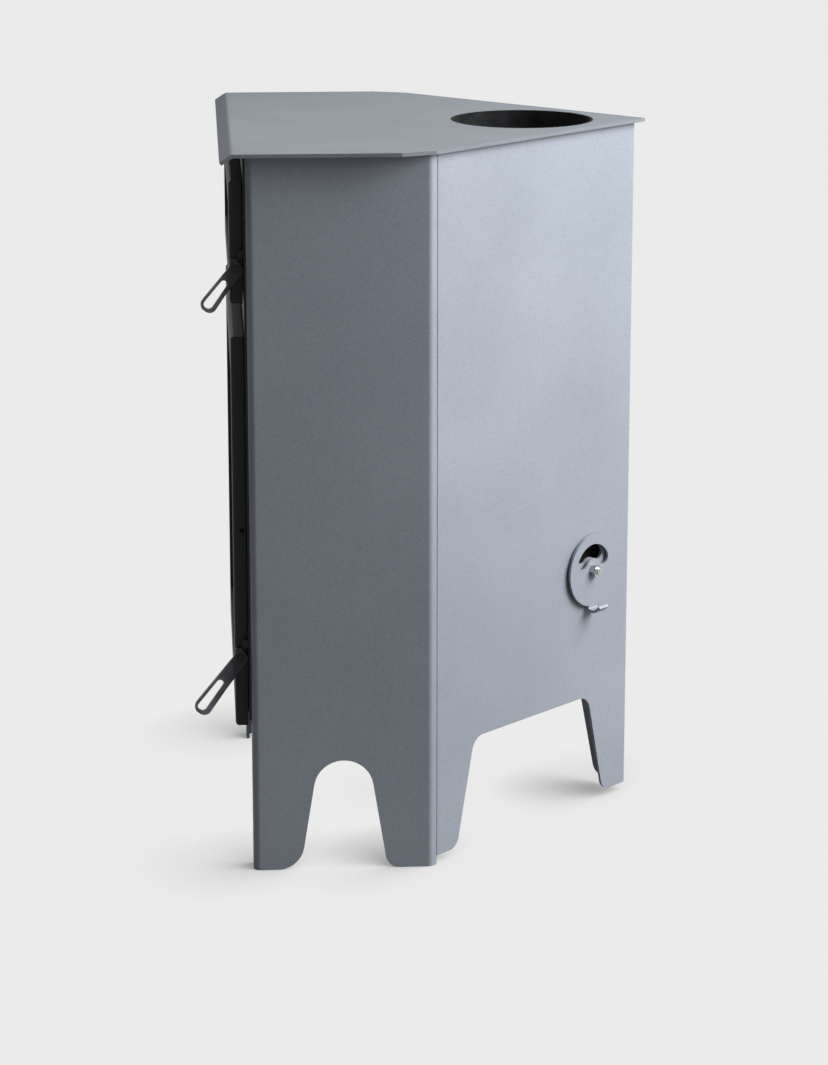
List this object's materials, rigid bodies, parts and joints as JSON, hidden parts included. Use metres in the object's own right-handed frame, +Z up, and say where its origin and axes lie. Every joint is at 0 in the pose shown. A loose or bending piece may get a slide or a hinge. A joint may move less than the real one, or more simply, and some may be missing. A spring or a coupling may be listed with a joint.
{
  "type": "wood-burning stove with oven",
  "caption": "Corner wood-burning stove of grey sheet steel with a small oven over the firebox, hinged glazed doors with lever latches, an air regulator disc and a top flue outlet.",
  "frame": {"origin": "on the floor, under the middle of the part's outermost box", "axes": "+Z up, the doors face -Y, the upright rear corner is at +Y, the door hinges are at -X and the air regulator is at +X"},
  "size_m": [0.54, 0.519, 0.8],
  "materials": {
    "painted_steel": "fine matt heat-resistant paint, metallic grey",
    "blackened_steel": "fine matt heat-resistant paint, metallic grey",
    "door_black": "satin black heat-resistant paint",
    "dark_glass": "polished ceramic glass, slightly tinted",
    "bare_steel": "rolled mill finish, heat-darkened",
    "zinc_steel": "bright zinc plating",
    "cast_iron": "as cast, sooty",
    "firebrick": "pressed mineral board, matt",
    "glass_rope": "knitted glass-fibre rope",
    "fibre_washer": "pressed fibre, matt"
  },
  "bodies": {
    "casing": {"top_plate": "blackened_steel", "flue_collar": "bare_steel", "side_panel_right": "painted_steel", "side_panel_left": "painted_steel", "rear_shell": "painted_steel", "corner_strip_right": "painted_steel", "corner_strip_left": "painted_steel", "front_plate": "painted_steel", "hearth_plate": "bare_steel", "rear_foot_boss": "zinc_steel", "rear_foot": "zinc_steel", "grate_tray": "bare_steel", "ash_pan": "bare_steel", "grate": "cast_iron", "floor_bricks": "firebrick", "log_retainer": "cast_iron", "side_lining_right": "firebrick", "side_lining_left": "firebrick", "rear_lining_right": "firebrick", "rear_lining_left": "firebrick", "baffle_board": "firebrick", "oven_liner": "bare_steel", "rack_runners": "bare_steel", "oven_rack": "zinc_steel", "oven_hinge_brackets": "door_black", "oven_hinge_pins": "zinc_steel", "fire_hinge_brackets": "door_black", "fire_hinge_pins": "zinc_steel", "latch_catches": "door_black", "regulator_bolt": "zinc_steel", "regulator_washer": "fibre_washer", "regulator_nut": "zinc_steel"},
    "oven_door": {"oven_door_frame": "door_black", "oven_door_glass": "dark_glass", "oven_door_rope": "glass_rope", "oven_glass_clips": "zinc_steel", "oven_clip_screws": "zinc_steel", "oven_lever_pin": "door_black"},
    "firebox_door": {"fire_door_frame": "door_black", "fire_door_glass": "dark_glass", "fire_door_rope": "glass_rope", "fire_glass_clips": "zinc_steel", "fire_clip_screws": "zinc_steel", "fire_lever_pin": "door_black"},
    "oven_latch": {"oven_latch_lever": "door_black"},
    "firebox_latch": {"fire_latch_lever": "door_black"},
    "regulator": {"regulator_disc": "painted_steel"}
  },
  "joints": [
    {"name": "oven_door_hinge", "type": "hinge", "parent": "casing", "child": "oven_door", "pos_m": [-0.237, -0.2079, 0.701], "axis": [0, 0, -1], "range_deg": [0, 110]},
    {"name": "firebox_door_hinge", "type": "hinge", "parent": "casing", "child": "firebox_door", "pos_m": [-0.237, -0.2079, 0.381], "axis": [0, 0, -1], "range_deg": [0, 110]},
    {"name": "oven_latch_lift", "type": "hinge", "parent": "oven_door", "child": "oven_latch", "pos_m": [0.23265, -0.2079, 0.672], "axis": [-1, 0, 0], "range_deg": [0, 32]},
    {"name": "firebox_latch_lift", "type": "hinge", "parent": "firebox_door", "child": "firebox_latch", "pos_m": [0.23265, -0.2079, 0.241], "axis": [-1, 0, 0], "range_deg": [0, 32]},
    {"name": "air_regulator_turn", "type": "hinge", "parent": "casing", "child": "regulator", "pos_m": [0.05272, 0.19688, 0.286], "axis": [0.7071, 0.7071, 0], "range_deg": [0, 150]}
  ]
}
